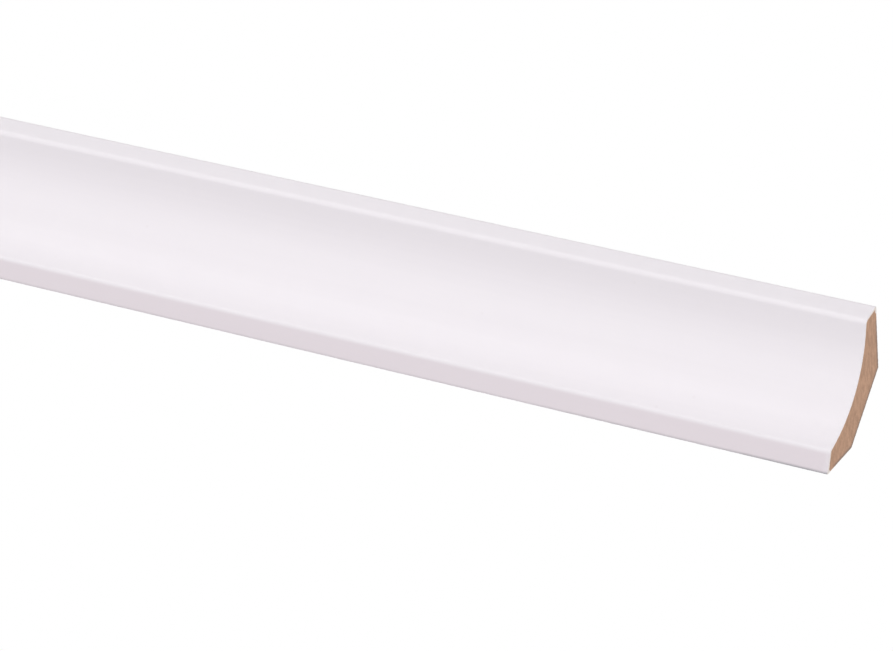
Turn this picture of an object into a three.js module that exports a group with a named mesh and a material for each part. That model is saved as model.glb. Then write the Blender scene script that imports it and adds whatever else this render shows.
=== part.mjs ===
// Crown moulding length: a small cove moulding of painted fibreboard, cut square at both ends.
// Millimetres. +X runs along the length, +Y points into the wall and +Z up to the ceiling.
// The origin is the middle of the flat that is fixed to the wall.
import * as THREE from 'three';

// Length, and how far the section reaches out from the corner of wall and ceiling
const LENGTH = 270;
const CEILING_LEG = 31.4;
const WALL_LEG = 29.4;

// Flats that touch the ceiling and the wall; the back is cut away between them
const CEILING_CONTACT = 17.5;
const WALL_CONTACT = 13.5;

// Narrow flats along both edges of the face, and how far each leans from square to its contact flat
const TOP_FILLET = 5.95;
const TOP_FILLET_LEAN = 13.5;
const LOW_FILLET = 6.1;
const LOW_FILLET_LEAN = 24.5;

// Hollow face, and the softened edges where it meets the two fillets
const COVE_RADIUS = 28.3;
const TOP_ARRIS_RADIUS = 1.7;
const LOW_ARRIS_RADIUS = 0.9;

// Eased outer lips, and the corners of the cut-away back
const TOP_LIP_RADIUS = 0.5;
const LOW_LIP_RADIUS = 0.3;
const BACK_CORNER_RADIUS = 0.3;

// Facets of the hollow and of each small round
const COVE_FACETS = 56;
const ARRIS_FACETS = 8;
const CORNER_FACETS = 4;

const PAINT_COLOUR = 0xebe4eb;

// A direction in the section's plane, from an angle in degrees against +Y
function heading(degrees) {
  const angle = THREE.MathUtils.degToRad(degrees);
  return new THREE.Vector2(Math.cos(angle), Math.sin(angle));
}

// Points from one place on a circle to another, the short way round
function arcPoints(centre, start, end, facets) {
  const radius = start.distanceTo(centre);
  const from = start.clone().sub(centre).angle();
  const to = end.clone().sub(centre).angle();
  const half = Math.PI;
  const sweep = THREE.MathUtils.euclideanModulo(to - from + half, 2 * half) - half;
  return Array.from({ length: facets + 1 }, (_, i) => {
    const angle = from + (sweep * i) / facets;
    return new THREE.Vector2(Math.cos(angle), Math.sin(angle)).multiplyScalar(radius).add(centre);
  });
}

// A corner between two straight sides, rounded to a radius
function easedCorner(before, corner, after, radius) {
  const back = before.clone().sub(corner).normalize();
  const on = after.clone().sub(corner).normalize();
  const halfAngle = Math.acos(back.dot(on)) / 2;
  const tangent = radius / Math.tan(halfAngle);
  const inward = back.clone().add(on).setLength(radius / Math.sin(halfAngle));
  return arcPoints(
    corner.clone().add(inward),
    corner.clone().addScaledVector(back, tangent),
    corner.clone().addScaledVector(on, tangent),
    CORNER_FACETS,
  );
}

// Centre of the hollow: the two arrises lie on its circle, and it stands out in front of the face
function coveCentre(topArris, lowArris) {
  const chord = lowArris.clone().sub(topArris);
  const outward = new THREE.Vector2(chord.y, -chord.x).normalize();
  const depth = Math.sqrt(COVE_RADIUS ** 2 - (chord.length() / 2) ** 2);
  return topArris.clone().addScaledVector(chord, 0.5).addScaledVector(outward, depth);
}

// The round between a fillet and the hollow: it touches the fillet's line and the cove's circle.
// into points from the fillet into the board, and along runs from the lip to the hollow.
function arris(lip, along, into, centre, radius) {
  const onOffset = lip.clone().addScaledVector(into, radius);
  const across = centre.clone().sub(onOffset);
  const reach = across.dot(along);
  const offLine = across.clone().addScaledVector(along, -reach).length();
  const back = Math.sqrt((COVE_RADIUS + radius) ** 2 - offLine ** 2);
  const middle = onOffset.clone().addScaledVector(along, reach - back);
  const onFillet = middle.clone().addScaledVector(into, -radius);
  const onCove = middle.clone().lerp(centre, radius / (COVE_RADIUS + radius));
  return { onFillet, onCove, points: arcPoints(middle, onFillet, onCove, ARRIS_FACETS) };
}

// Outline of the section, with y across and z up, starting at the ceiling flat
function sectionOutline() {
  const ceiling = WALL_LEG - WALL_CONTACT / 2;
  const topLip = new THREE.Vector2(-CEILING_LEG, ceiling);
  const lowLip = new THREE.Vector2(0, ceiling - WALL_LEG);
  const backTop = new THREE.Vector2(CEILING_CONTACT - CEILING_LEG, ceiling);
  const backLow = new THREE.Vector2(0, lowLip.y + WALL_CONTACT);

  const topAlong = heading(TOP_FILLET_LEAN - 90);
  const topInto = heading(TOP_FILLET_LEAN);
  const lowAlong = heading(180 - LOW_FILLET_LEAN);
  const lowInto = heading(90 - LOW_FILLET_LEAN);
  const topEdge = topLip.clone().addScaledVector(topAlong, TOP_FILLET);
  const lowEdge = lowLip.clone().addScaledVector(lowAlong, LOW_FILLET);

  const centre = coveCentre(topEdge, lowEdge);
  const topArris = arris(topLip, topAlong, topInto, centre, TOP_ARRIS_RADIUS);
  const lowArris = arris(lowLip, lowAlong, lowInto, centre, LOW_ARRIS_RADIUS);
  const cove = arcPoints(centre, topArris.onCove, lowArris.onCove, COVE_FACETS);

  return [
    ...easedCorner(backTop, topLip, topEdge, TOP_LIP_RADIUS),
    ...topArris.points,
    ...cove.slice(1, -1),
    ...lowArris.points.reverse(),
    ...easedCorner(lowEdge, lowLip, backLow, LOW_LIP_RADIUS),
    ...easedCorner(lowLip, backLow, backTop, BACK_CORNER_RADIUS),
    ...easedCorner(backLow, backTop, topLip, BACK_CORNER_RADIUS),
  ];
}

// The board: the section run straight along X, centred on the origin
function mouldingBoard() {
  const geometry = new THREE.ExtrudeGeometry(new THREE.Shape(sectionOutline()), {
    depth: LENGTH,
    bevelEnabled: false,
  });
  geometry.translate(0, 0, -LENGTH / 2);
  const sectionToRoom = new THREE.Matrix4().makeBasis(
    new THREE.Vector3(0, 1, 0),
    new THREE.Vector3(0, 0, 1),
    new THREE.Vector3(1, 0, 0),
  );
  geometry.applyMatrix4(sectionToRoom);
  return geometry;
}

const paintedBoard = new THREE.MeshStandardMaterial({
  color: PAINT_COLOUR,
  roughness: 0.45,
  metalness: 0,
});

const moulding = new THREE.Mesh(mouldingBoard(), paintedBoard);
moulding.name = 'crown_moulding_length';

const part = new THREE.Group();
part.add(moulding);

export default part;
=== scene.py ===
"""A length of cove crown moulding: painted fibreboard, shown on a plain studio stage.

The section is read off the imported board, so the moulding keeps its shape and size. Geometry nodes run
it to its length, roughen the two sawn ends and give each side its finish: paint on the face, and bare
board on the back and the ends.
"""

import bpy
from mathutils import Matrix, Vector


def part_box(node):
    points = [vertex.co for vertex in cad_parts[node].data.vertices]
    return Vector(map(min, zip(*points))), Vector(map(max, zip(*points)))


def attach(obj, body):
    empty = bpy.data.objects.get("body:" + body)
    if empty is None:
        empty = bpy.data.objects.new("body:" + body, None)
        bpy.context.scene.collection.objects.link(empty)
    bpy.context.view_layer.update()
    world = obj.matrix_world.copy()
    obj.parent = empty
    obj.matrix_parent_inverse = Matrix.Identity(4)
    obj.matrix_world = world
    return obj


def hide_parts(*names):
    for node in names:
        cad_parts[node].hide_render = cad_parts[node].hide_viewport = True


bl_info = {
    "name": "Crown Moulding Length",
    "version": (1, 0, 0),
    "blender": (4, 5, 0),
    "location": "3D View > Sidebar > Moulding",
    "description": "Builds a length of painted cove crown moulding, its finishes and its photo stage",
    "category": "Object",
}

import math

import bmesh
import bpy
import numpy as np
from bpy.props import (
    FloatProperty,
    FloatVectorProperty,
    IntProperty,
    PointerProperty,
)
from mathutils import Euler, Vector

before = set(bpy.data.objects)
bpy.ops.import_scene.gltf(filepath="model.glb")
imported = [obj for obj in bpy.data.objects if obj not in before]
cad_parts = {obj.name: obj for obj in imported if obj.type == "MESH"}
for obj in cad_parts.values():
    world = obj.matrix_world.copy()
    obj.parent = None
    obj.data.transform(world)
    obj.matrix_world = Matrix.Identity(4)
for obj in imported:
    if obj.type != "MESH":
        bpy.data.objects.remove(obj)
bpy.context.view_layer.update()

BOARD_NODE = "crown_moulding_length"
PHOTO_WIDTH_PX = 893
SENSOR_WIDTH_MM = 36.0
MM = 0.001

# Points closer together than the first are one, and points closer to an end than the second lie on it
WELD = 1e-6
TOUCHING = 1e-5

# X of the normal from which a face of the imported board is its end, the sharpest bend that shades
# smoothly, and how far a face of the finished board may lean and still be part of an end
FACING_X = 0.9
CRISP_BEND = math.radians(40.0)
END_ANGLE = math.radians(45.0)

# The painted shade along the edge of the low lip grows a little between the first two distances ahead of
# its heaviest stretch, and reaches its full strength over the third
LIP_SHADE_CREEPS_FROM = 55.0 * MM
LIP_SHADE_CREEPS_TO = 25.0 * MM
LIP_SHADE_GROWS_FOR = 26.0 * MM

# How strongly stray fibres show, the depths of the relief that is too fine for the mesh, and the
# distance from one ripple of the cutter head to the next
STRAY_SHARE = 0.3
PAINT_RELIEF = 0.004 * MM
SAWN_RELIEF = 0.06 * MM
PLANED_RELIEF = 0.03 * MM
CUTTER_RIPPLE = 1.8 * MM

# Far soft lights over the face, in an arch from above its top to under its low edge. Each row: degrees
# from straight in front towards straight below, the width of the light in degrees, and its strength.
# The arch as a whole stands off to the left, by ARCH_SIDE.
ARCH_LIGHTS = (
    (-70, 30, 0.36),
    (-28, 14, 0.06),
    (-20, 35, 0.33),
    (0, 35, 0.43),
    (20, 35, 0.56),
    (40, 35, 0.51),
    (60, 35, 0.52),
    (100, 35, 0.22),
)
ARCH_SIDE = -0.47

# Far soft lights for the cut ends and the back, which the arch leaves dark. Each row: direction, width
# in degrees, and strength.
SIDE_LIGHTS = (
    ((1.0, 0.12, 0.12), 35, 1.50),
    ((-1.0, 0.15, 0.15), 35, 0.80),
    ((-0.45, 0.80, 0.40), 35, 1.00),
    ((0.50, 0.75, 0.42), 35, 1.00),
)


class MouldingSizes(bpy.types.PropertyGroup):
    """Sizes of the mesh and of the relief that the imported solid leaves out"""

    mesh_step: FloatProperty(
        name="Mesh Step", description="Widest gap between points across the section",
        default=0.32 * MM, min=0.1 * MM, unit="LENGTH", precision=5,
    )
    length_steps: IntProperty(
        name="Length Steps", description="Sections along the length, crowded towards the cut ends",
        default=72, min=8, max=400,
    )
    end_crowding: FloatProperty(
        name="End Crowding", description="How far the sections gather at the ends, from even to all there",
        default=0.97, min=0.0, max=0.99,
    )
    wrap_top: FloatProperty(
        name="Wrap Over Top Lip", description="How far the paint runs over the lip onto the ceiling flat",
        default=0.8 * MM, min=0.0, unit="LENGTH", precision=5,
    )
    wrap_low: FloatProperty(
        name="Wrap Over Low Lip", description="How far the paint runs over the lip onto the wall flat",
        default=0.5 * MM, min=0.0, unit="LENGTH", precision=5,
    )
    pool_top: FloatProperty(
        name="Pool At Top Lip", description="Extra depth of paint on the cut at the ceiling lip",
        default=0.5 * MM, min=0.0, unit="LENGTH", precision=5,
    )
    pool_low: FloatProperty(
        name="Pool At Low Lip", description="Extra depth of paint on the cut at the wall lip",
        default=0.65 * MM, min=0.0, unit="LENGTH", precision=5,
    )
    pool_reach: FloatProperty(
        name="Pool Reach", description="How far from each lip the paint is deeper",
        default=7.0 * MM, min=0.1 * MM, unit="LENGTH", precision=5,
    )
    film_thickness: FloatProperty(
        name="Paint Film", description="Thickness of the paint where the saw has cut through it",
        default=0.16 * MM, min=0.0, unit="LENGTH", precision=5,
    )
    core_recess: FloatProperty(
        name="Core Recess", description="How far the sawn board lies behind the cut edge of the paint",
        default=0.05 * MM, min=0.0, unit="LENGTH", precision=5,
    )
    fibre_relief: FloatProperty(
        name="Fibre Relief", description="Depth of the torn fibres on the sawn ends",
        default=0.07 * MM, min=0.0, unit="LENGTH", precision=5,
    )
    fibre_size: FloatProperty(
        name="Fibre Size", description="Typical width of a clump of torn fibres",
        default=0.9 * MM, min=0.1 * MM, unit="LENGTH", precision=5,
    )
    saw_depth: FloatProperty(
        name="Saw Mark Depth", description="Depth of the marks that the saw's teeth leave",
        default=0.015 * MM, min=0.0, unit="LENGTH", precision=5,
    )
    saw_pitch: FloatProperty(
        name="Saw Mark Pitch", description="Distance from one saw mark to the next",
        default=1.1 * MM, min=0.1 * MM, unit="LENGTH", precision=5,
    )
    seed: IntProperty(name="Seed", description="Chooses the pattern of torn fibres", default=7, min=0)


class MouldingFinish(bpy.types.PropertyGroup):
    """Colours of the paint, of the shade painted on its low fillet and lip, and of the bare board; widths
    are millimetres across the face
    """

    paint: FloatVectorProperty(
        name="Paint", description="Satin white factory paint on the face",
        subtype="COLOR", size=3, min=0.0, max=1.0, default=(0.803, 0.762, 0.799),
    )
    satin: FloatProperty(
        name="Satin", description="Roughness of the paint",
        default=0.30, min=0.05, max=1.0, subtype="FACTOR",
    )
    # The next two values paint shade: the low fillet darker and pinker than the rest of the face
    painted_fillet_shade: FloatVectorProperty(
        name="Thin Coat", description="What the thinner paint on the low fillet takes off the white",
        subtype="COLOR", size=3, min=0.0, max=1.0, default=(0.885, 0.846, 0.858),
    )
    painted_fillet_shade_width: FloatProperty(
        name="Thin Coat Width", description="Width of the low fillet, where the paint is thinner",
        default=5.6, min=0.0,
    )
    # The next five values paint shade: a grey line along the very edge of the low lip, heaviest near the
    # right-hand cut
    painted_lip_shade: FloatVectorProperty(
        name="Grime", description="What handling takes off the white at the very edge of the low lip",
        subtype="COLOR", size=3, min=0.0, max=1.0, default=(0.30, 0.34, 0.35),
    )
    painted_lip_shade_width: FloatProperty(
        name="Grime Width", description="Width of the greyed edge of the low lip", default=1.2, min=0.01,
    )
    painted_lip_shade_start: FloatProperty(
        name="Grime Start", description="Place along the length from which the grime is heaviest",
        default=100.0 * MM, unit="LENGTH", precision=4,
    )
    painted_lip_shade_far: FloatProperty(
        name="Grime Far Off", description="Share of the grime over most of the length",
        default=0.25, min=0.0, max=1.0, subtype="FACTOR",
    )
    painted_lip_shade_near: FloatProperty(
        name="Grime Near By", description="Share of the grime just before its heaviest stretch",
        default=0.45, min=0.0, max=1.0, subtype="FACTOR",
    )
    nib: FloatVectorProperty(
        name="Dust Nib", description="What a speck of dust in the paint takes off the white",
        subtype="COLOR", size=3, min=0.0, max=1.0, default=(0.90, 0.88, 0.87),
    )
    film_edge: FloatVectorProperty(
        name="Cut Film Edge", description="Primer and paint seen edge on at the cut",
        subtype="COLOR", size=3, min=0.0, max=1.0, default=(0.76, 0.70, 0.66),
    )
    film_width: FloatProperty(
        name="Cut Film Width", description="Width of the pale line that the cut paint draws",
        default=0.30, min=0.0,
    )
    sawn_board: FloatVectorProperty(
        name="Sawn Board", description="Fibreboard fresh from the saw",
        subtype="COLOR", size=3, min=0.0, max=1.0, default=(0.462, 0.279, 0.187),
    )
    layer_lean: FloatProperty(
        name="Layer Lean", description="Turn about the length that lays the board's layers from lip to lip",
        default=math.radians(43.0), unit="ROTATION",
    )
    sawn_rim: FloatVectorProperty(
        name="Sawn Rim", description="The denser, greyer board close to the outline of the cut",
        subtype="COLOR", size=3, min=0.0, max=1.0, default=(0.26, 0.18, 0.145),
    )
    pale_fibre: FloatVectorProperty(
        name="Pale Fibre", description="Stray fibres on the sawn ends",
        subtype="COLOR", size=3, min=0.0, max=1.0, default=(0.60, 0.43, 0.31),
    )
    planed_board: FloatVectorProperty(
        name="Planed Board", description="Bare fibreboard on the back and the two flats",
        subtype="COLOR", size=3, min=0.0, max=1.0, default=(0.50, 0.325, 0.222),
    )
    dark_fibre: FloatVectorProperty(
        name="Dark Fibre", description="Stray fibres on the planed board",
        subtype="COLOR", size=3, min=0.0, max=1.0, default=(0.30, 0.19, 0.12),
    )
    overspray: FloatProperty(
        name="Overspray", description="How far the paint reaches that is blown over both edges of the face",
        default=1.6, min=0.0,
    )
    mist: FloatProperty(
        name="Overspray Mist", description="How far the thin mist of paint reaches beyond the edges",
        default=6.0, min=0.6,
    )


class MouldingStage(bpy.types.PropertyGroup):
    """Camera, light and floor of the photo"""

    aim: FloatVectorProperty(
        name="Aim", description="The point that the camera looks at",
        subtype="TRANSLATION", size=3, unit="LENGTH", default=(0.02474, -0.01158, 0.00219), precision=5,
    )
    distance: FloatProperty(
        name="Distance", description="From the camera to the point it looks at",
        default=1.1810, min=0.1, unit="LENGTH", precision=4,
    )
    azimuth: FloatProperty(
        name="Azimuth", description="Turn of the camera round the moulding from square in front",
        default=math.radians(42.87), unit="ROTATION",
    )
    elevation: FloatProperty(
        name="Elevation", description="Height of the camera above the horizontal, below it if negative",
        default=math.radians(-46.30), unit="ROTATION",
    )
    roll: FloatProperty(
        name="Roll", description="Tilt of the camera about its own line of sight",
        default=math.radians(46.81), unit="ROTATION",
    )
    focal_px: FloatProperty(
        name="Focal Length in Pixels", description="Focal length measured on the photo's width in pixels",
        default=4705.5, min=100.0,
    )
    floor_drop: FloatProperty(
        name="Floor Drop", description="How far the floor lies under the wall fixing",
        default=2.4, min=0.2, unit="LENGTH",
    )
    floor_size: FloatProperty(
        name="Floor Size", description="Side of the floor",
        default=16.0, min=1.0, unit="LENGTH",
    )
    floor_colour: FloatVectorProperty(
        name="Floor Colour", description="Pale plain floor",
        subtype="COLOR", size=3, min=0.0, max=1.0, default=(0.86, 0.86, 0.86),
    )
    ambient: FloatVectorProperty(
        name="Ambient Light", description="Light of the white room, from all sides",
        subtype="COLOR", size=3, min=0.0, max=4.0, default=(0.2, 0.2, 0.2),
    )


def require(condition, message):
    """Stops the script when something it needs isn't there"""
    if not condition:
        raise RuntimeError(message)


class TreeBuilder:
    """Adds nodes to a node tree and joins them up"""

    def __init__(self, tree):
        self.tree = tree

    def add(self, kind, inputs=None, **settings):
        """A new node; each input is a socket to link or a plain value, by name or number"""
        node = self.tree.nodes.new(kind)
        for name, value in settings.items():
            setattr(node, name, value)
        for key, value in (inputs or {}).items():
            self.feed(node.inputs[key], value)
        return node

    def feed(self, socket, value):
        """Links a socket to another, or gives it a plain value"""
        if isinstance(value, bpy.types.NodeSocket):
            self.tree.links.new(value, socket)
        else:
            socket.default_value = value

    def math(self, operation, first, second=0.0):
        """One step of arithmetic"""
        return self.add("ShaderNodeMath", {0: first, 1: second}, operation=operation).outputs[0]

    def fade(self, value, low, high, start=0.0, end=1.0):
        """A smooth change from start to end while value goes from low to high"""
        node = self.add(
            "ShaderNodeMapRange",
            {"Value": value, "From Min": low, "From Max": high, "To Min": start, "To Max": end},
            interpolation_type="SMOOTHSTEP",
        )
        return node.outputs["Result"]

    def stored(self, name):
        """A number that the mesh carries at each point, for geometry nodes"""
        return self.add("GeometryNodeInputNamedAttribute", {"Name": name}, data_type="FLOAT").outputs[0]

    def attribute(self, name):
        """A number that the mesh carries at each point, for a material"""
        return self.add("ShaderNodeAttribute", attribute_name=name).outputs["Fac"]

    def x_of(self, vector):
        """How far a vector reaches along the length"""
        return self.add("ShaderNodeSeparateXYZ", {0: vector}).outputs["X"]

    def scaled(self, colour, gain):
        """A colour made lighter or darker"""
        return self.add("ShaderNodeVectorMath", {0: colour, "Scale": gain}, operation="SCALE").outputs[0]

    def group(self, tree, inputs):
        """A node group in use"""
        return self.add("ShaderNodeGroup", inputs, node_tree=tree)

    def bump(self, shader, height, depth):
        """Relief too fine for the mesh; depth in metres for a height from 0 to 1"""
        node = self.add("ShaderNodeBump", {"Height": height, "Strength": 1.0, "Distance": depth})
        self.feed(shader.inputs["Normal"], node.outputs[0])

    def mix_colour(self, factor, first, second, blend_type="MIX"):
        """One colour over another"""
        node = self.add("ShaderNodeMix", data_type="RGBA", blend_type=blend_type)
        for socket, value in zip((node.inputs[0], node.inputs[6], node.inputs[7]), (factor, first, second)):
            self.feed(socket, value)
        return node.outputs[2]


def new_group(name, kind, inputs, outputs):
    """An empty node group with named inputs and outputs, and a builder for it"""
    tree = bpy.data.node_groups.new(name, kind)
    for label, socket_type, default in inputs:
        socket = tree.interface.new_socket(name=label, in_out="INPUT", socket_type=socket_type)
        if default is not None:
            socket.default_value = default
    for label, socket_type in outputs:
        tree.interface.new_socket(name=label, in_out="OUTPUT", socket_type=socket_type)
    build = TreeBuilder(tree)
    return build, build.add("NodeGroupInput"), build.add("NodeGroupOutput")


def cut_outline(node):
    """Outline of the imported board's right-hand end, in order, as points (across, up)"""
    shell = bmesh.new()
    shell.from_mesh(node.data)
    bmesh.ops.remove_doubles(shell, verts=shell.verts, dist=WELD)
    end = {face for face in shell.faces if face.normal.x > FACING_X}
    rim = [edge for face in end for edge in face.edges if not end.issuperset(edge.link_faces)]
    require(rim, "the packed board has no flat end towards +X")
    outline, edge = [rim[0].verts[0]], rim[0]
    while len(outline) < len(rim):
        here = edge.other_vert(outline[-1])
        outline.append(here)
        edge = next(other for other in rim if other is not edge and here in other.verts)
    points = [Vector((vert.co.y, vert.co.z)) for vert in outline]
    shell.free()
    return points


def section_sides(outline):
    """The face from the ceiling lip to the wall lip, and the back from one flat to the other"""
    ceiling = max(point.y for point in outline)
    wall = max(point.x for point in outline)
    on_ceiling = [i for i, point in enumerate(outline) if ceiling - point.y < WELD]
    on_wall = [i for i, point in enumerate(outline) if wall - point.x < WELD]
    outer = min(on_ceiling, key=lambda i: outline[i].x)
    inner = max(on_ceiling, key=lambda i: outline[i].x)
    low = min(on_wall, key=lambda i: outline[i].y)
    high = max(on_wall, key=lambda i: outline[i].y)
    count = len(outline)

    def walk(start, stop, turn):
        return [(start + turn * i) % count for i in range((stop - start) * turn % count + 1)]

    turn = -1 if inner in walk(outer, low, 1) else 1
    face, back = walk(outer, low, turn), walk(high, inner, turn)
    return [outline[i] for i in face], [outline[i] for i in reversed(back)]


def refined(points, step):
    """The same line with points added, so that no gap is wider than step"""
    fine = [points[0]]
    for start, stop in zip(points, points[1:]):
        parts = max(1, math.ceil((stop - start).length / step))
        fine += [start.lerp(stop, i / parts) for i in range(1, parts + 1)]
    return np.array(fine)


def run_along(points):
    """Distance along a line to each of its points"""
    return np.concatenate([[0.0], np.cumsum(np.linalg.norm(np.diff(points, axis=0), axis=1))])


def at_shares(points, shares):
    """Points at the given shares of a line's length"""
    points = np.array(points)
    run = run_along(points)
    return np.stack([np.interp(shares * run[-1], run, points[:, axis]) for axis in (0, 1)], axis=1)


def unit(vector):
    """The same direction, with a length of one"""
    return vector / np.linalg.norm(vector)


def distance_to_line(points, line):
    """Shortest distance from each point to a line of straight pieces"""
    start, along = line[:-1], np.diff(line, axis=0)
    to_start = points[:, None, :] - start[None]
    share = np.clip((to_start * along).sum(2) / (along ** 2).sum(1), 0.0, 1.0)
    return np.linalg.norm(to_start - share[..., None] * along, axis=2).min(1)


def section_values(places, face, back, sizes):
    """Numbers that the finishes read at each point: three in millimetres, and a mark on the face"""
    over_ceiling = face[0] + unit(back[0] - face[0]) * sizes.wrap_top
    over_wall = face[-1] + unit(back[-1] - face[-1]) * sizes.wrap_low
    painted = np.concatenate([over_ceiling[None], face, over_wall[None]])
    outline = np.concatenate([face, back[::-1], face[:1]])

    def nearness(lip):
        return np.clip(1.0 - np.linalg.norm(places - lip, axis=1) / sizes.pool_reach, 0.0, 1.0)

    pooled = nearness(face[0]) * sizes.pool_top + nearness(face[-1]) * sizes.pool_low
    face_run = run_along(face)
    wide = len(places) // len(face)
    return {
        "skin_depth": (distance_to_line(places, painted) - pooled) / MM,
        "rim_distance": distance_to_line(places, outline) / MM,
        "low_run": np.repeat(face_run[-1] - face_run, wide) / MM,
        "on_face": (np.arange(len(places)) % wide == 0).astype(float),
    }


def section_patch(node, sizes):
    """The cut end as a grid of quads between the face and the back, in the plane of the origin"""
    face_corners, back_corners = section_sides(cut_outline(node))
    face = refined(face_corners, sizes.mesh_step)
    face_run = run_along(face)
    back = at_shares(back_corners, face_run / face_run[-1])
    widest_flat = max(np.linalg.norm(back[i] - face[i]) for i in (0, -1))
    columns, wide = len(face), math.ceil(widest_flat / sizes.mesh_step) + 1
    depth = np.linspace(0.0, 1.0, wide)[None, :, None]
    places = ((1 - depth) * face[:, None] + depth * back[:, None]).reshape(-1, 2)

    quads = [
        (i * wide + j, i * wide + j + 1, (i + 1) * wide + j + 1, (i + 1) * wide + j)
        for i in range(columns - 1) for j in range(wide - 1)
    ]
    mesh = bpy.data.meshes.new("moulding_section")
    mesh.from_pydata([(0.0, y, z) for y, z in places], [], quads)
    if mesh.polygons[0].normal.x < 0.0:
        mesh.flip_normals()
    for name, numbers in section_values(places, face, back, sizes).items():
        attribute = mesh.attributes.new(name, "FLOAT", "POINT")
        attribute.data.foreach_set("value", numbers.astype(np.float32))
    return mesh


def drawn_out_section(build, size, half):
    """The section drawn out along X, in steps that are short near both ends, and closed at the left"""
    left = build.add("ShaderNodeCombineXYZ", {"X": build.math("MULTIPLY", half, -1.0)})
    placed = build.add("GeometryNodeSetPosition", {"Geometry": size["Section"], "Offset": left.outputs[0]})
    repeat_in = build.add("GeometryNodeRepeatInput")
    repeat_out = build.add("GeometryNodeRepeatOutput")
    repeat_in.pair_with_output(repeat_out)
    repeat_out.repeat_items.new("BOOLEAN", "Front")
    build.feed(repeat_in.inputs["Iterations"], size["Steps"])
    build.feed(repeat_in.inputs["Geometry"], placed.outputs[0])
    repeat_in.inputs["Front"].default_value = True

    # Station s of the length lies at s - crowding * sin(2 pi s) / (2 pi)
    def station(step):
        share = build.math("DIVIDE", step, size["Steps"])
        wave = build.math("SINE", build.math("MULTIPLY", share, math.tau))
        bend = build.math("MULTIPLY", build.math("DIVIDE", wave, math.tau), size["End Crowding"])
        return build.math("MULTIPLY", build.math("SUBTRACT", share, bend), size["Length"])

    iteration = repeat_in.outputs["Iteration"]
    advance = build.math("SUBTRACT", station(build.math("ADD", iteration, 1.0)), station(iteration))
    rightwards = build.add("ShaderNodeCombineXYZ", {"X": advance}).outputs[0]
    extrude = build.add(
        "GeometryNodeExtrudeMesh",
        {
            "Mesh": repeat_in.outputs["Geometry"],
            "Selection": repeat_in.outputs["Front"],
            "Offset": rightwards,
            "Offset Scale": 1.0,
            "Individual": False,
        },
        mode="FACES",
    )
    build.feed(repeat_out.inputs["Geometry"], extrude.outputs["Mesh"])
    build.feed(repeat_out.inputs["Front"], extrude.outputs["Top"])

    left_end = build.add("GeometryNodeFlipFaces", {0: placed.outputs[0]})
    both = build.add("GeometryNodeJoinGeometry")
    build.feed(both.inputs[0], repeat_out.outputs["Geometry"])
    build.feed(both.inputs[0], left_end.outputs[0])
    closed = build.add("GeometryNodeMergeByDistance", {"Geometry": both.outputs[0], "Distance": WELD})
    return closed.outputs[0]


def roughened_ends(build, size, board, place, near_end):
    """Torn fibres and saw marks on both ends, pushed inwards only, so that the board keeps its length"""
    parts = build.add("ShaderNodeSeparateXYZ", {0: place}).outputs
    outwards = build.math("SIGN", parts["X"])
    fibres = build.add(
        "ShaderNodeTexNoise",
        {
            "Vector": place,
            "W": build.math("ADD", size["Seed"], outwards),
            "Scale": build.math("DIVIDE", 1.0, size["Fibre Size"]),
            "Detail": 3.0,
            "Roughness": 0.65,
        },
        noise_dimensions="4D",
    ).outputs[0]
    torn = build.math("MULTIPLY", build.fade(fibres, 0.25, 0.75), size["Fibre Relief"])
    saw_phase = build.math("DIVIDE", parts["Y"], size["Saw Mark Pitch"])
    saw = build.math("MULTIPLY", build.math("SINE", build.math("MULTIPLY", saw_phase, math.tau)), 0.5)
    saw_cut = build.math("MULTIPLY", build.math("ADD", saw, 0.5), size["Saw Mark Depth"])
    behind_film = build.math("MULTIPLY", size["Paint Film"], 3.0)
    inside = build.fade(build.stored("skin_depth"), size["Paint Film"], behind_film)
    relief = build.math("ADD", size["Core Recess"], build.math("ADD", torn, saw_cut))
    core = build.math("MULTIPLY", inside, relief)
    edge_tear = build.math("MULTIPLY", build.fade(build.stored("rim_distance"), 0.0, 0.4, 0.35, 0.0), torn)
    inwards = build.math("MULTIPLY", build.math("ADD", core, edge_tear), outwards)
    offset = build.add("ShaderNodeCombineXYZ", {"X": build.math("MULTIPLY", inwards, -1.0)})
    at_end = build.math("LESS_THAN", near_end, TOUCHING)
    rough = build.add(
        "GeometryNodeSetPosition", {"Geometry": board, "Selection": at_end, "Offset": offset.outputs[0]}
    )
    return rough.outputs[0]


def crisp_shading(build, board):
    """Sharp bends stay crisp, and the small rounds shade smoothly"""
    bend = build.add("GeometryNodeInputMeshEdgeAngle").outputs[0]
    smooth = build.add("GeometryNodeSetShadeSmooth", {0: board, "Shade Smooth": True}, domain="FACE")
    sharp = build.math("GREATER_THAN", bend, CRISP_BEND)
    crisp = build.add(
        "GeometryNodeSetShadeSmooth",
        {0: smooth.outputs[0], "Selection": sharp, "Shade Smooth": False},
        domain="EDGE",
    )
    return crisp.outputs[0]


def finished_sides(build, size, board):
    """Lays the back's finish on everything, and then those of the ends and of the painted face"""
    realized = build.add("GeometryNodeRealizeInstances", {0: board})
    back = build.add(
        "GeometryNodeSetMaterial", {"Geometry": realized.outputs[0], "Material": size["Planed Back"]}
    )
    facing = build.x_of(build.add("GeometryNodeInputNormal").outputs[0])
    end_face = build.math("GREATER_THAN", build.math("ABSOLUTE", facing), math.cos(END_ANGLE))
    ends = build.add(
        "GeometryNodeSetMaterial",
        {"Geometry": back.outputs[0], "Selection": end_face, "Material": size["Sawn End"]},
    )
    on_side = build.math("SUBTRACT", 1.0, end_face)
    on_face = build.math("GREATER_THAN", build.stored("on_face"), 0.99)
    face = build.add(
        "GeometryNodeSetMaterial",
        {
            "Geometry": ends.outputs[0],
            "Selection": build.math("MULTIPLY", on_face, on_side),
            "Material": size["Painted Face"],
        },
    )
    return face.outputs[0]


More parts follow.
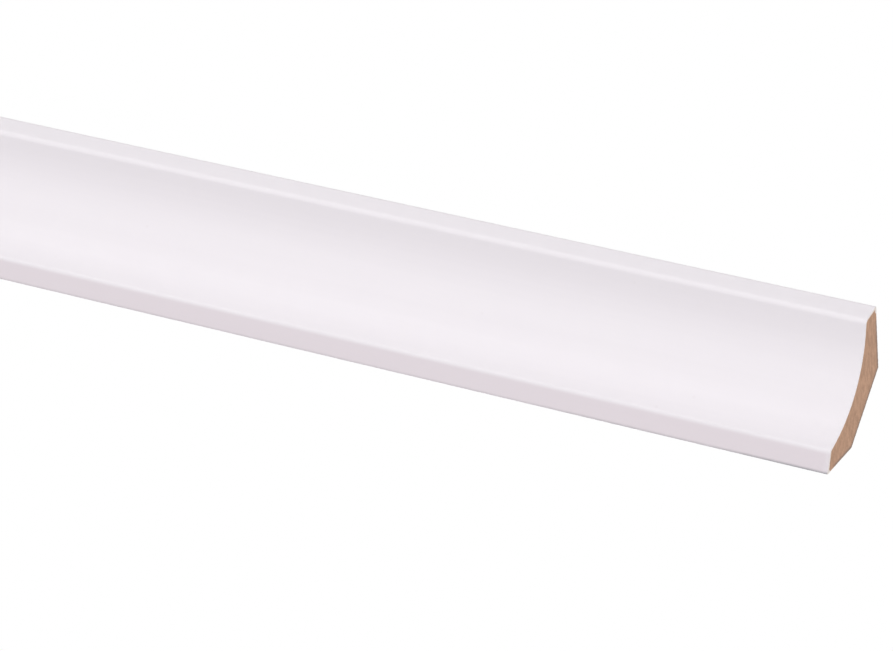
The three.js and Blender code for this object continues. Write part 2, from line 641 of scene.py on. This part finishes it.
def length_tree():
    """Geometry nodes that run the section to its length, roughen the ends and lay on the finishes.

    Paint Film is in millimetres, as the depth under the skin is that it is held against, and every
    other size is in metres.
    """
    build, group_in, group_out = new_group(
        "Run Section to Length", "GeometryNodeTree",
        [
            ("Section", "NodeSocketGeometry", None),
            ("Length", "NodeSocketFloat", 270.0 * MM),
            ("Steps", "NodeSocketInt", 72),
            ("End Crowding", "NodeSocketFloat", 0.97),
            ("Paint Film", "NodeSocketFloat", 0.16),
            ("Core Recess", "NodeSocketFloat", 0.05 * MM),
            ("Fibre Relief", "NodeSocketFloat", 0.07 * MM),
            ("Fibre Size", "NodeSocketFloat", 0.9 * MM),
            ("Saw Mark Depth", "NodeSocketFloat", 0.015 * MM),
            ("Saw Mark Pitch", "NodeSocketFloat", 1.1 * MM),
            ("Seed", "NodeSocketFloat", 7.0),
            ("Painted Face", "NodeSocketMaterial", None),
            ("Sawn End", "NodeSocketMaterial", None),
            ("Planed Back", "NodeSocketMaterial", None),
        ],
        [("Moulding", "NodeSocketGeometry")],
    )
    size = group_in.outputs
    half = build.math("MULTIPLY", size["Length"], 0.5)
    board = drawn_out_section(build, size, half)
    place = build.add("GeometryNodeInputPosition").outputs[0]
    near_end = build.math("SUBTRACT", half, build.math("ABSOLUTE", build.x_of(place)))
    rough = roughened_ends(build, size, board, place, near_end)
    kept = build.add(
        "GeometryNodeStoreNamedAttribute",
        {"Geometry": rough, "Name": "from_cut", "Value": build.math("DIVIDE", near_end, MM)},
        data_type="FLOAT", domain="POINT",
    )
    finished = finished_sides(build, size, crisp_shading(build, kept.outputs[0]))
    build.feed(group_out.inputs["Moulding"], finished)
    return build.tree


def made_by_nodes(name, mesh, tree, values):
    """Runs a geometry nodes tree on a mesh and keeps what it makes as a plain mesh object"""
    holder = bpy.data.objects.new(name + "_source", mesh)
    bpy.context.scene.collection.objects.link(holder)
    modifier = holder.modifiers.new("build", "NODES")
    modifier.node_group = tree
    sockets = {item.name: item.identifier for item in tree.interface.items_tree if item.in_out == "INPUT"}
    for label, value in values.items():
        modifier[sockets[label]] = value
    bpy.context.view_layer.update()
    depsgraph = bpy.context.evaluated_depsgraph_get()
    evaluated = holder.evaluated_get(depsgraph)
    made = bpy.data.meshes.new_from_object(evaluated, preserve_all_data_layers=True, depsgraph=depsgraph)
    made.name = name
    holder.modifiers.remove(modifier)
    bpy.data.objects.remove(holder)
    bpy.data.meshes.remove(mesh)
    piece = bpy.data.objects.new(name, made)
    bpy.context.scene.collection.objects.link(piece)
    return piece


def fibre_mat_group():
    """Pressed wood fibre: cloudy clumps, fine threads in them and a few stray pale or dark ones"""
    build, group_in, group_out = new_group(
        "Fibre Mat", "ShaderNodeTree",
        [
            ("Position", "NodeSocketVector", None),
            ("Clump Size", "NodeSocketFloat", 1.2 * MM),
            ("Thread Size", "NodeSocketFloat", 0.3 * MM),
            ("Seed", "NodeSocketFloat", 0.0),
        ],
        [("Tone", "NodeSocketFloat"), ("Flecks", "NodeSocketFloat"), ("Height", "NodeSocketFloat")],
    )

    def cloud(size, seed_step, detail, roughness, distortion=0.0):
        node = build.add(
            "ShaderNodeTexNoise",
            {
                "Vector": group_in.outputs["Position"],
                "W": build.math("ADD", group_in.outputs["Seed"], seed_step),
                "Scale": build.math("DIVIDE", 1.0, size),
                "Detail": detail,
                "Roughness": roughness,
                "Distortion": distortion,
            },
            noise_dimensions="4D",
        )
        return node.outputs[0]

    clumps = cloud(group_in.outputs["Clump Size"], 0.0, 2.0, 0.5)
    threads = cloud(group_in.outputs["Thread Size"], 3.1, 3.0, 0.7, 0.6)
    strays = cloud(build.math("MULTIPLY", group_in.outputs["Thread Size"], 1.7), 8.4, 1.0, 0.5, 1.5)
    tone = build.math("ADD", build.math("MULTIPLY", clumps, 0.55), build.math("MULTIPLY", threads, 0.45))
    build.feed(group_out.inputs["Tone"], build.fade(tone, 0.28, 0.72))
    build.feed(group_out.inputs["Flecks"], build.fade(strays, 0.64, 0.74))
    build.feed(group_out.inputs["Height"], threads)
    return build.tree


def coverage_group():
    """How far paint reaches from a line: full at the line, ragged where it ends"""
    build, group_in, group_out = new_group(
        "Paint Coverage", "ShaderNodeTree",
        [
            ("Distance", "NodeSocketFloat", 0.0),
            ("Reach", "NodeSocketFloat", 1.0),
            ("Softness", "NodeSocketFloat", 0.1),
            ("Raggedness", "NodeSocketFloat", 0.2),
            ("Position", "NodeSocketVector", None),
            ("Tatter Size", "NodeSocketFloat", 2.0 * MM),
        ],
        [("Cover", "NodeSocketFloat")],
    )
    tatters = build.add(
        "ShaderNodeTexNoise",
        {
            "Vector": group_in.outputs["Position"],
            "Scale": build.math("DIVIDE", 1.0, group_in.outputs["Tatter Size"]),
            "Detail": 3.0,
            "Roughness": 0.6,
        },
    ).outputs[0]
    swing = build.math("MULTIPLY", build.math("SUBTRACT", tatters, 0.5), 4.0)
    shift = build.math("MULTIPLY", swing, group_in.outputs["Raggedness"])
    distance = build.math("ADD", group_in.outputs["Distance"], shift)
    low = build.math("SUBTRACT", group_in.outputs["Reach"], group_in.outputs["Softness"])
    high = build.math("ADD", group_in.outputs["Reach"], group_in.outputs["Softness"])
    build.feed(group_out.inputs["Cover"], build.fade(distance, low, high, 1.0, 0.0))
    return build.tree


def drift_group():
    """Slow, slight changes of a colour from place to place"""
    build, group_in, group_out = new_group(
        "Tone Drift", "ShaderNodeTree",
        [
            ("Color", "NodeSocketColor", (0.8, 0.8, 0.8, 1.0)),
            ("Position", "NodeSocketVector", None),
            ("Size", "NodeSocketFloat", 20.0 * MM),
            ("Amount", "NodeSocketFloat", 0.05),
        ],
        [("Color", "NodeSocketColor")],
    )
    cloud = build.add(
        "ShaderNodeTexNoise",
        {
            "Vector": group_in.outputs["Position"],
            "Scale": build.math("DIVIDE", 1.0, group_in.outputs["Size"]),
            "Detail": 2.0,
        },
    ).outputs[0]
    swing = build.math("MULTIPLY", build.math("SUBTRACT", cloud, 0.5), 2.0)
    gain = build.math("ADD", 1.0, build.math("MULTIPLY", swing, group_in.outputs["Amount"]))
    build.feed(group_out.inputs["Color"], build.scaled(group_in.outputs["Color"], gain))
    return build.tree


def shared_groups():
    """The effects that more than one finish uses, each built once"""
    return {"mat": fibre_mat_group(), "cover": coverage_group(), "drift": drift_group()}


def new_finish(name):
    """An empty material: its builder, its shader and the place of each point on the moulding"""
    material = bpy.data.materials.new(name)
    material.use_nodes = True
    build = TreeBuilder(material.node_tree)
    shader = material.node_tree.nodes["Principled BSDF"]
    position = build.add("ShaderNodeTexCoord").outputs["Object"]
    return material, build, shader, position


def painted_lip_shade_cover(build, finish, groups, low_run, position):
    """How much painted shade the edge of the low lip gets: most over the last stretch before the right-hand
    cut
    """
    lip = build.fade(low_run, 0.1 * finish.painted_lip_shade_width, finish.painted_lip_shade_width, 1.0, 0.0)
    patchy = build.group(
        groups["mat"], {"Position": position, "Clump Size": 4.0 * MM, "Thread Size": 0.8 * MM, "Seed": 2.0}
    )
    patchy_shade = build.math("MULTIPLY", lip, build.fade(patchy.outputs["Tone"], 0.0, 1.0, 0.8, 1.0))
    along, start = build.x_of(position), finish.painted_lip_shade_start
    creeping = build.fade(
        along, start - LIP_SHADE_CREEPS_FROM, start - LIP_SHADE_CREEPS_TO, finish.painted_lip_shade_far, finish.painted_lip_shade_near
    )
    growing = build.fade(along, start, start + LIP_SHADE_GROWS_FOR, 0.0, 1.0 - finish.painted_lip_shade_near)
    return build.math("MULTIPLY", patchy_shade, build.math("ADD", creeping, growing))


def satin_paint(finish, groups):
    """Satin white paint, sprayed and cured on the face, with shade painted on its low fillet and lip"""
    material, build, shader, position = new_finish("satin_white_paint")
    low_run = build.attribute("low_run")
    drawn_out = build.add("ShaderNodeMapping", {"Vector": position, "Scale": (0.015, 1.0, 1.0)}).outputs[0]

    # Colour: white, with painted shade that darkens the low fillet and makes it pinker, easing off just
    # before the cut
    white = build.group(
        groups["drift"],
        {"Color": (*finish.paint, 1.0), "Position": drawn_out, "Size": 1.6 * MM, "Amount": 0.012},
    ).outputs["Color"]
    on_fillet = build.fade(low_run, finish.painted_fillet_shade_width - 0.7, finish.painted_fillet_shade_width + 0.3, 1.0, 0.0)
    beside_cut = build.fade(build.attribute("from_cut"), 0.5, 1.8, 0.72, 1.0)
    fillet_shade_share = build.math("MULTIPLY", on_fillet, beside_cut)
    # The white with shade painted over the low fillet
    thin = build.mix_colour(fillet_shade_share, white, (*finish.painted_fillet_shade, 1.0), "MULTIPLY")

    # Painted shade greys the very edge of the low lip, and a few dust nibs sit in the paint
    painted_lip_shade = painted_lip_shade_cover(build, finish, groups, low_run, position)
    lip_shaded = build.mix_colour(painted_lip_shade, thin, (*finish.painted_lip_shade, 1.0), "MULTIPLY")
    nibs = build.add("ShaderNodeTexVoronoi", {"Vector": position, "Scale": 90.0}, feature="F1")
    nib = build.fade(nibs.outputs["Distance"], 0.02, 0.06, 0.25, 0.0)
    specked = build.mix_colour(nib, lip_shaded, (*finish.nib, 1.0), "MULTIPLY")
    build.feed(shader.inputs["Base Color"], specked)

    # Surface: a faint orange peel over the even fainter lines of the moulder's knives
    peel = build.add("ShaderNodeTexNoise", {"Vector": position, "Scale": 500.0, "Detail": 1.0}).outputs[0]
    lines = build.add("ShaderNodeTexNoise", {"Vector": drawn_out, "Scale": 500.0, "Detail": 1.0}).outputs[0]
    height = build.math("ADD", build.math("MULTIPLY", peel, 0.5), build.math("MULTIPLY", lines, 0.6))
    build.bump(shader, height, PAINT_RELIEF)
    gloss = build.fade(peel, 0.3, 0.7, finish.satin - 0.015, finish.satin + 0.025)
    build.feed(shader.inputs["Roughness"], gloss)
    shader.inputs["Specular IOR Level"].default_value = 0.5
    return material


def sawn_board(finish, groups):
    """Fibreboard as the cross-cut saw leaves it, with the cut edge of the paint round its face"""
    material, build, shader, position = new_finish("sawn_fibreboard")
    layers = build.add(
        "ShaderNodeMapping",
        {"Vector": position, "Rotation": (finish.layer_lean, 0.0, 0.0), "Scale": (1.0, 0.35, 1.0)},
    ).outputs[0]
    mat = build.group(
        groups["mat"], {"Position": layers, "Clump Size": 1.0 * MM, "Thread Size": 0.28 * MM, "Seed": 5.0}
    )
    skin_depth = build.attribute("skin_depth")

    core = build.group(
        groups["drift"],
        {"Color": (*finish.sawn_board, 1.0), "Position": position, "Size": 6.0 * MM, "Amount": 0.10},
    ).outputs["Color"]
    shaded = build.scaled(core, build.fade(mat.outputs["Tone"], 0.0, 1.0, 0.85, 1.13))
    strays = build.math("MULTIPLY", mat.outputs["Flecks"], STRAY_SHARE)
    flecked = build.mix_colour(strays, shaded, (*finish.pale_fibre, 1.0))

    # The board is denser and greyer along its outline, apart from the side of the painted face
    bare_side = build.fade(skin_depth, 1.5, 4.0)
    near_rim = build.fade(build.attribute("rim_distance"), 0.15, 1.2, 0.9, 0.0)
    dense = build.math("MULTIPLY", near_rim, bare_side)
    rimmed = build.mix_colour(dense, flecked, (*finish.sawn_rim, 1.0))
    film = build.group(
        groups["cover"],
        {
            "Distance": skin_depth, "Reach": finish.film_width, "Softness": 0.20, "Raggedness": 0.13,
            "Position": position, "Tatter Size": 1.3 * MM,
        },
    ).outputs["Cover"]
    build.feed(shader.inputs["Base Color"], build.mix_colour(film, rimmed, (*finish.film_edge, 1.0)))

    build.bump(shader, mat.outputs["Height"], SAWN_RELIEF)
    build.feed(shader.inputs["Roughness"], build.math("SUBTRACT", 0.92, build.math("MULTIPLY", film, 0.35)))
    shader.inputs["Specular IOR Level"].default_value = 0.3
    return material


def planed_board(finish, groups):
    """Bare fibreboard as the moulder's cutters leave it, with paint blown over both of its edges"""
    material, build, shader, position = new_finish("planed_fibreboard")
    skin_depth = build.attribute("skin_depth")
    drawn_out = build.add("ShaderNodeMapping", {"Vector": position, "Scale": (0.06, 1.0, 1.0)}).outputs[0]
    mat = build.group(
        groups["mat"], {"Position": position, "Clump Size": 1.6 * MM, "Thread Size": 0.4 * MM, "Seed": 9.0}
    )
    knife_lines = build.group(
        groups["mat"], {"Position": drawn_out, "Clump Size": 2.2 * MM, "Thread Size": 0.5 * MM, "Seed": 4.0}
    )

    board = build.group(
        groups["drift"],
        {"Color": (*finish.planed_board, 1.0), "Position": position, "Size": 30.0 * MM, "Amount": 0.07},
    ).outputs["Color"]
    mottled = build.fade(mat.outputs["Tone"], 0.0, 1.0, 0.44, 0.56)
    streaked = build.fade(knife_lines.outputs["Tone"], 0.0, 1.0, 0.46, 0.54)
    shaded = build.scaled(board, build.math("ADD", mottled, streaked))
    strays = build.math("MULTIPLY", mat.outputs["Flecks"], STRAY_SHARE)
    flecked = build.mix_colour(strays, shaded, (*finish.dark_fibre, 1.0))

    # Paint: dense up to a ragged edge, and a thin mist beyond it
    blown = build.group(
        groups["cover"],
        {
            "Distance": skin_depth, "Reach": finish.overspray, "Softness": 0.5, "Raggedness": 0.7,
            "Position": position, "Tatter Size": 6.0 * MM,
        },
    ).outputs["Cover"]
    mist = build.math("MULTIPLY", build.fade(skin_depth, 0.5, finish.mist, 0.35, 0.0), mat.outputs["Tone"])
    paint = build.math("MAXIMUM", build.math("MULTIPLY", blown, 0.93), mist)
    build.feed(shader.inputs["Base Color"], build.mix_colour(paint, flecked, (*finish.paint, 1.0)))

    # The cutter head leaves a shallow ripple at every turn
    ripple = build.math("SINE", build.math("MULTIPLY", build.x_of(position), math.tau / CUTTER_RIPPLE))
    height = build.math("ADD", build.math("MULTIPLY", ripple, 0.12), mat.outputs["Height"])
    height = build.math("ADD", height, build.math("MULTIPLY", knife_lines.outputs["Height"], 0.7))
    build.bump(shader, height, PLANED_RELIEF)
    build.feed(shader.inputs["Roughness"], build.math("SUBTRACT", 0.72, build.math("MULTIPLY", paint, 0.2)))
    shader.inputs["Specular IOR Level"].default_value = 0.35
    return material


class MOULDING_OT_board(bpy.types.Operator):
    """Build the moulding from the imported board's section and give it its finishes"""

    bl_idname = "moulding.build_board"
    bl_label = "Build Moulding"

    def execute(self, context):
        sizes, finish = context.scene.moulding_sizes, context.scene.moulding_finish
        low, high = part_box(BOARD_NODE)
        groups = shared_groups()
        planed = planed_board(finish, groups)
        patch = section_patch(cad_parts[BOARD_NODE], sizes)
        patch.materials.append(planed)
        values = {
            "Length": high.x - low.x,
            "Steps": sizes.length_steps,
            "End Crowding": sizes.end_crowding,
            "Paint Film": sizes.film_thickness / MM,
            "Core Recess": sizes.core_recess,
            "Fibre Relief": sizes.fibre_relief,
            "Fibre Size": sizes.fibre_size,
            "Saw Mark Depth": sizes.saw_depth,
            "Saw Mark Pitch": sizes.saw_pitch,
            "Seed": float(sizes.seed),
            "Painted Face": satin_paint(finish, groups),
            "Sawn End": sawn_board(finish, groups),
            "Planed Back": planed,
        }
        moulding = made_by_nodes("crown_moulding", patch, length_tree(), values)
        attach(moulding, "root")
        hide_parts(BOARD_NODE)
        return {"FINISHED"}


def soft_light(name, direction, width, strength):
    """A far, soft light from a direction; it lights the whole length alike"""
    data = bpy.data.lights.new(name, "SUN")
    data.angle = math.radians(width)
    data.energy = strength
    light = bpy.data.objects.new(name, data)
    light.rotation_euler = Vector(direction).to_track_quat("Z", "Y").to_euler()
    bpy.context.scene.collection.objects.link(light)
    return light


def soft_lights():
    """The arch of lights over the face, and the lights for the ends and the back"""
    reach = math.sqrt(1.0 - ARCH_SIDE ** 2)
    for number, (degrees, width, strength) in enumerate(ARCH_LIGHTS):
        lean = math.radians(degrees)
        direction = (ARCH_SIDE, -reach * math.cos(lean), -reach * math.sin(lean))
        soft_light(f"arch_light_{number}", direction, width, strength)
    for number, (direction, width, strength) in enumerate(SIDE_LIGHTS):
        soft_light(f"side_light_{number}", direction, width, strength)


def white_world(stage):
    """A white room: plain white behind the moulding, and softer light on it from all sides"""
    world = bpy.data.worlds.new("white_room")
    world.use_nodes = True
    build = TreeBuilder(world.node_tree)
    world.node_tree.nodes.clear()
    seen = build.add("ShaderNodeBackground", {"Color": (1.0, 1.0, 1.0, 1.0), "Strength": 1.0})
    lighting = build.add("ShaderNodeBackground", {"Color": (*stage.ambient, 1.0), "Strength": 1.0})
    camera_ray = build.add("ShaderNodeLightPath").outputs["Is Camera Ray"]
    mix = build.add("ShaderNodeMixShader", {0: camera_ray, 1: lighting.outputs[0], 2: seen.outputs[0]})
    build.add("ShaderNodeOutputWorld", {"Surface": mix.outputs[0]})
    return world


def photo_camera(stage):
    """The photo's camera: far away, with a long lens, tilted on its own axis"""
    data = bpy.data.cameras.new("photo_camera")
    data.sensor_width = SENSOR_WIDTH_MM
    data.lens = SENSOR_WIDTH_MM * stage.focal_px / PHOTO_WIDTH_PX
    camera = bpy.data.objects.new("photo_camera", data)
    turn, lift = stage.azimuth, stage.elevation
    back = Vector((math.sin(turn) * math.cos(lift), -math.cos(turn) * math.cos(lift), math.sin(lift)))
    camera.location = Vector(stage.aim) + back * stage.distance
    level = back.to_track_quat("Z", "Y")
    camera.rotation_euler = (level.to_matrix() @ Euler((0.0, 0.0, stage.roll)).to_matrix()).to_euler()
    bpy.context.scene.collection.objects.link(camera)
    return camera


class MOULDING_OT_stage(bpy.types.Operator):
    """Set up the pale floor, the white room, the soft lights and the photo's camera"""

    bl_idname = "moulding.build_stage"
    bl_label = "Build Stage"

    def execute(self, context):
        scene, stage = context.scene, context.scene.moulding_stage
        bpy.ops.mesh.primitive_plane_add(size=stage.floor_size, location=(0.0, 0.0, -stage.floor_drop))
        floor = context.active_object
        floor.name = "floor"
        material = bpy.data.materials.new("pale_floor")
        material.use_nodes = True
        shader = material.node_tree.nodes["Principled BSDF"]
        shader.inputs["Base Color"].default_value = (*stage.floor_colour, 1.0)
        shader.inputs["Roughness"].default_value = 0.8
        floor.data.materials.append(material)
        floor.visible_shadow = False
        scene.world = white_world(stage)
        soft_lights()
        scene.camera = photo_camera(stage)
        scene.view_settings.view_transform = "Standard"
        return {"FINISHED"}


class MOULDING_PT_sidebar(bpy.types.Panel):
    """Buttons and values of the moulding"""

    bl_idname = "MOULDING_PT_sidebar"
    bl_label = "Crown Moulding"
    bl_space_type = "VIEW_3D"
    bl_region_type = "UI"
    bl_category = "Moulding"

    def draw(self, context):
        layout, scene = self.layout, context.scene
        for operator in OPERATORS:
            layout.operator(operator.bl_idname)
        for group in (scene.moulding_sizes, scene.moulding_finish, scene.moulding_stage):
            box = layout.box()
            for name in group.__annotations__:
                box.prop(group, name)


OPERATORS = (MOULDING_OT_board, MOULDING_OT_stage)
CLASSES = (MouldingSizes, MouldingFinish, MouldingStage, *OPERATORS, MOULDING_PT_sidebar)


def register():
    """Adds the classes and hangs the values on the scene"""
    for cls in CLASSES:
        bpy.utils.register_class(cls)
    bpy.types.Scene.moulding_sizes = PointerProperty(type=MouldingSizes)
    bpy.types.Scene.moulding_finish = PointerProperty(type=MouldingFinish)
    bpy.types.Scene.moulding_stage = PointerProperty(type=MouldingStage)


def unregister():
    """Takes the values and the classes away again"""
    del bpy.types.Scene.moulding_stage
    del bpy.types.Scene.moulding_finish
    del bpy.types.Scene.moulding_sizes
    for cls in reversed(CLASSES):
        bpy.utils.unregister_class(cls)


def main():
    """Builds the whole scene"""
    register()
    bpy.ops.moulding.build_board()
    bpy.ops.moulding.build_stage()


if __name__ == "__main__":
    main()
